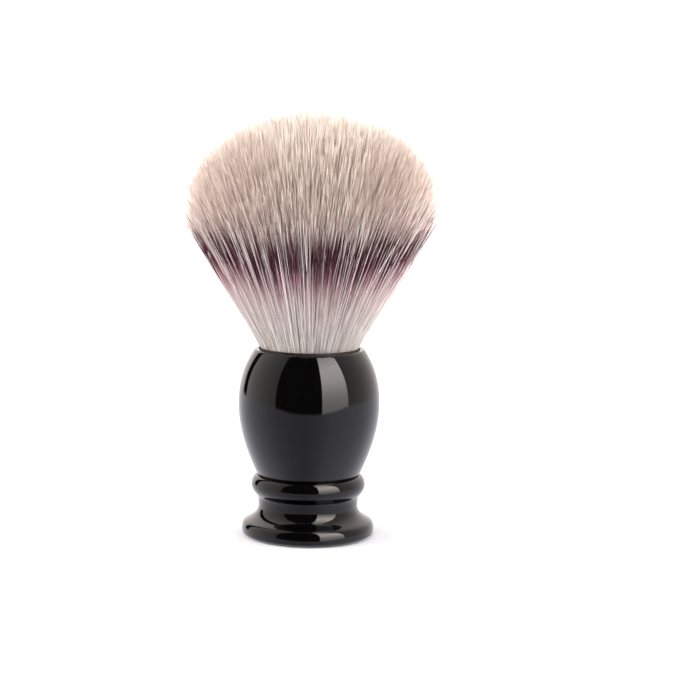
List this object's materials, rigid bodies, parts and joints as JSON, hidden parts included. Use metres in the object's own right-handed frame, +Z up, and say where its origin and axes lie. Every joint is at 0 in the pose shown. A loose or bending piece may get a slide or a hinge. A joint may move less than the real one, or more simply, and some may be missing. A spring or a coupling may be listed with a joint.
{
  "type": "shaving brush",
  "caption": "Shaving brush with a turned black resin handle on a rounded foot and a fanned, domed knot of pale synthetic fibre that bends and springs back.",
  "frame": {"origin": "centre of the foot's flat underside", "axes": "+Z up the brush's axis towards the fibre tips, -Y towards the side seen in the picture, +X to the right of that view"},
  "size_m": [0.0628, 0.0628, 0.1065],
  "materials": {
    "handle_resin": "polished",
    "stud_steel": "satin",
    "adhesive": "satin",
    "ring_plastic": "satin",
    "set_resin": "gloss",
    "thread": "matte",
    "fibre": "satin"
  },
  "bodies": {
    "handle": {"handle_body": "handle_resin", "foot": "handle_resin", "joining_stud": "stud_steel", "socket_adhesive": "adhesive", "knot_ring": "ring_plastic", "set_resin": "set_resin", "binding_thread": "thread", "fibre_root": "fibre"},
    "knot_mid": {"fibre_mid": "fibre"},
    "knot_head": {"fibre_head": "fibre"}
  },
  "joints": [
    {"name": "knot_sway", "type": "hinge", "parent": "handle", "child": "knot_mid", "pos_m": [0, 0, 0.0594], "axis": [0, 1, 0], "range_deg": [-20, 20], "stiffness_Nm_per_rad": 0.15},
    {"name": "knot_nod", "type": "hinge", "parent": "knot_mid", "child": "knot_head", "pos_m": [0, 0, 0.0594], "axis": [1, 0, 0], "range_deg": [-20, 20], "stiffness_Nm_per_rad": 0.15}
  ]
}
